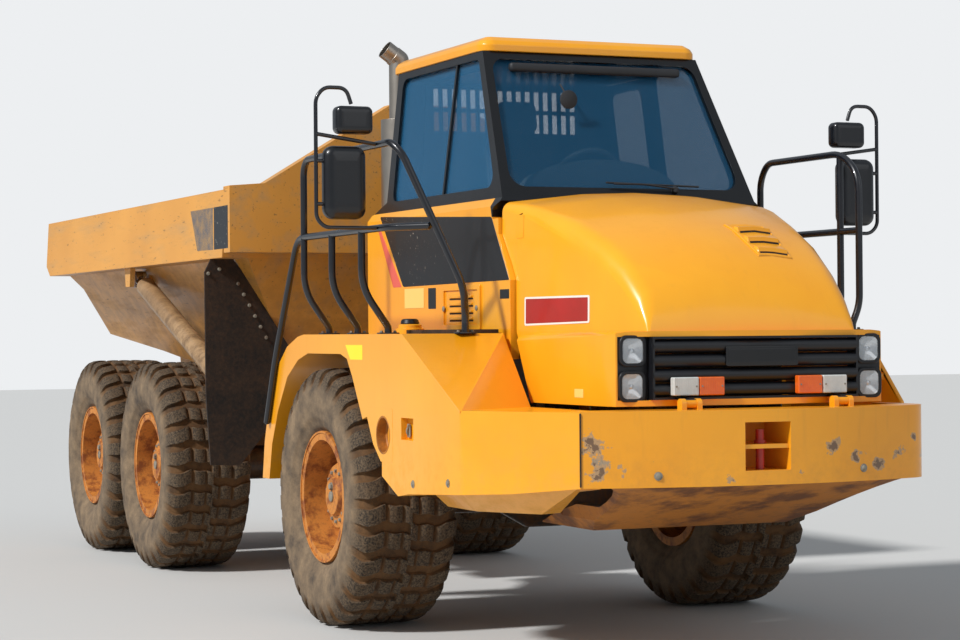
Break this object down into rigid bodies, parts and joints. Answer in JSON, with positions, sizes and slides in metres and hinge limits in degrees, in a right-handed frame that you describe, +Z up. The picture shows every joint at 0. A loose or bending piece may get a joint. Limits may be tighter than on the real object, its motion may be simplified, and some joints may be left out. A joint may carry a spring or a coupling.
{
  "type": "articulated dump truck",
  "caption": "Articulated dump truck with a glazed cab, sloping hood, hinged frame, bogie wheels and a tipping body.",
  "frame": {"origin": "on the ground, below the middle of the truck's whole length and width", "axes": "+X to the truck's left, -Y to its front, +Z up"},
  "size_m": [3.6786, 10.17, 3.6488],
  "materials": {
    "frame_paint": "dusty dark paint",
    "engine_paint": "plain paint",
    "guard_steel": "rusty and muddy",
    "tractor_paint": "glossy warm yellow",
    "pin_paint": "red paint",
    "cab_black": "satin black",
    "tinted_glass": "tinted",
    "seat_fabric": "woven",
    "cab_plastic": "moulded",
    "stack_metal": "heat stained",
    "duct_metal": "grey",
    "rail_black": "satin black",
    "lamp_glass": "clear lens",
    "amber_lens": "amber and clear",
    "body_paint": "faded and scraped",
    "flap_rubber": "dusty",
    "rod_chrome": "polished",
    "tyre_rubber": "dusty",
    "rim_paint": "rust stained"
  },
  "bodies": {
    "root": {"front_frame": "frame_paint", "front_axle": "frame_paint", "engine_block": "engine_paint", "belly_guard": "guard_steel", "bumper": "tractor_paint", "tow_pin": "pin_paint", "fender_right": "tractor_paint", "fender_left": "tractor_paint", "cab_lower": "tractor_paint", "cab_frame": "cab_black", "cab_roof": "tractor_paint", "cab_glass": "tinted_glass", "seat": "seat_fabric", "console": "cab_plastic", "rear_screen": "cab_black", "exhaust_stack": "stack_metal", "air_cleaner": "duct_metal", "fuel_tank": "tractor_paint", "handrails": "rail_black", "mirrors": "rail_black"},
    "door": {"cab_door": "cab_black", "door_glass": "tinted_glass"},
    "hood": {"hood": "tractor_paint", "grille": "cab_black", "headlamps": "lamp_glass", "indicators": "amber_lens"},
    "hitch": {"hitch_yoke": "frame_paint"},
    "rear": {"rear_frame": "body_paint", "bogie_beams": "frame_paint", "bogie_axles": "frame_paint"},
    "dump": {"dump_body": "body_paint", "mud_flaps": "flap_rubber"},
    "wheel_front_right": {"tyre_front_right": "tyre_rubber", "rim_front_right": "rim_paint"},
    "wheel_front_left": {"tyre_front_left": "tyre_rubber", "rim_front_left": "rim_paint"},
    "wheel_mid_right": {"tyre_mid_right": "tyre_rubber", "rim_mid_right": "rim_paint"},
    "wheel_mid_left": {"tyre_mid_left": "tyre_rubber", "rim_mid_left": "rim_paint"},
    "wheel_rear_right": {"tyre_rear_right": "tyre_rubber", "rim_rear_right": "rim_paint"},
    "wheel_rear_left": {"tyre_rear_left": "tyre_rubber", "rim_rear_left": "rim_paint"},
    "hoist_right": {"hoist_barrel_right": "body_paint"},
    "hoist_rod_right": {"hoist_rod_right": "rod_chrome"},
    "hoist_left": {"hoist_barrel_left": "body_paint"},
    "hoist_rod_left": {"hoist_rod_left": "rod_chrome"},
    "steer_right": {"steer_barrel_right": "frame_paint"},
    "steer_rod_right": {"steer_rod_right": "rod_chrome"},
    "steer_left": {"steer_barrel_left": "frame_paint"},
    "steer_rod_left": {"steer_rod_left": "rod_chrome"}
  },
  "joints": [
    {"name": "wheel_front_right_spin", "type": "hinge", "parent": "root", "child": "wheel_front_right", "pos_m": [-1.175, -2.135, 0.772], "axis": [1, 0, 0], "continuous": true},
    {"name": "wheel_front_left_spin", "type": "hinge", "parent": "root", "child": "wheel_front_left", "pos_m": [1.175, -2.135, 0.772], "axis": [1, 0, 0], "continuous": true},
    {"name": "wheel_mid_right_spin", "type": "hinge", "parent": "rear", "child": "wheel_mid_right", "pos_m": [-1.175, 1.769, 0.772], "axis": [1, 0, 0], "continuous": true},
    {"name": "wheel_mid_left_spin", "type": "hinge", "parent": "rear", "child": "wheel_mid_left", "pos_m": [1.175, 1.769, 0.772], "axis": [1, 0, 0], "continuous": true},
    {"name": "wheel_rear_right_spin", "type": "hinge", "parent": "rear", "child": "wheel_rear_right", "pos_m": [-1.175, 3.469, 0.772], "axis": [1, 0, 0], "continuous": true},
    {"name": "wheel_rear_left_spin", "type": "hinge", "parent": "rear", "child": "wheel_rear_left", "pos_m": [1.175, 3.469, 0.772], "axis": [1, 0, 0], "continuous": true},
    {"name": "steer", "type": "hinge", "parent": "root", "child": "hitch", "pos_m": [0, -0.685, 1.02], "axis": [0, 0, 1], "range_deg": [-45, 45]},
    {"name": "oscillate", "type": "hinge", "parent": "hitch", "child": "rear", "pos_m": [0, -0.085, 1.02], "axis": [0, 1, 0], "range_deg": [-8, 8]},
    {"name": "dump_lift", "type": "hinge", "parent": "rear", "child": "dump", "pos_m": [0, 3.915, 1.25], "axis": [-1, 0, 0], "range_deg": [0, 70]},
    {"name": "door_swing", "type": "hinge", "parent": "root", "child": "door", "pos_m": [0.866, -1.665, 2.15], "axis": [0, 0, 1], "range_deg": [0, 75]},
    {"name": "hood_tilt", "type": "hinge", "parent": "root", "child": "hood", "pos_m": [0, -4.907, 1.38], "axis": [1, 0, 0], "range_deg": [0, 60]},
    {"name": "hoist_turn_right", "type": "hinge", "parent": "rear", "child": "hoist_right", "pos_m": [-1.3, 0.315, 1.42], "axis": [1, 0, 0], "range_deg": [0, 0.9028]},
    {"name": "hoist_slide_right", "type": "slide", "parent": "hoist_right", "child": "hoist_rod_right", "axis": [0, 0.945, 0.3271], "range_m": [0, 1.9221]},
    {"name": "hoist_turn_left", "type": "hinge", "parent": "rear", "child": "hoist_left", "pos_m": [1.3, 0.315, 1.42], "axis": [1, 0, 0], "range_deg": [0, 0.9028]},
    {"name": "hoist_slide_left", "type": "slide", "parent": "hoist_left", "child": "hoist_rod_left", "axis": [0, 0.945, 0.3271], "range_m": [0, 1.9221]},
    {"name": "steer_turn_right", "type": "hinge", "parent": "root", "child": "steer_right", "pos_m": [-0.64, -1.835, 1.02], "axis": [0, 0, 1], "range_deg": [-1.5, 1.5]},
    {"name": "steer_slide_right", "type": "slide", "parent": "steer_right", "child": "steer_rod_right", "axis": [0.2106, 0.9776, 0], "range_m": [-0.2754, 0.2754]},
    {"name": "steer_turn_left", "type": "hinge", "parent": "root", "child": "steer_left", "pos_m": [0.64, -1.835, 1.02], "axis": [0, 0, 1], "range_deg": [-1.5, 1.5]},
    {"name": "steer_slide_left", "type": "slide", "parent": "steer_left", "child": "steer_rod_left", "axis": [-0.2106, 0.9776, 0], "range_m": [-0.2754, 0.2754]}
  ],
  "couplings": [
    {"joint": "hoist_turn_right", "follows": "dump_lift", "ratio": 0.01275},
    {"joint": "hoist_slide_right", "follows": "dump_lift", "m_per_rad": 1.5724},
    {"joint": "hoist_turn_left", "follows": "dump_lift", "ratio": 0.01275},
    {"joint": "hoist_slide_left", "follows": "dump_lift", "m_per_rad": 1.5724},
    {"joint": "steer_turn_right", "follows": "steer", "ratio": 0.02707},
    {"joint": "steer_slide_right", "follows": "steer", "m_per_rad": -0.3494},
    {"joint": "steer_turn_left", "follows": "steer", "ratio": 0.02707},
    {"joint": "steer_slide_left", "follows": "steer", "m_per_rad": 0.3494}
  ]
}
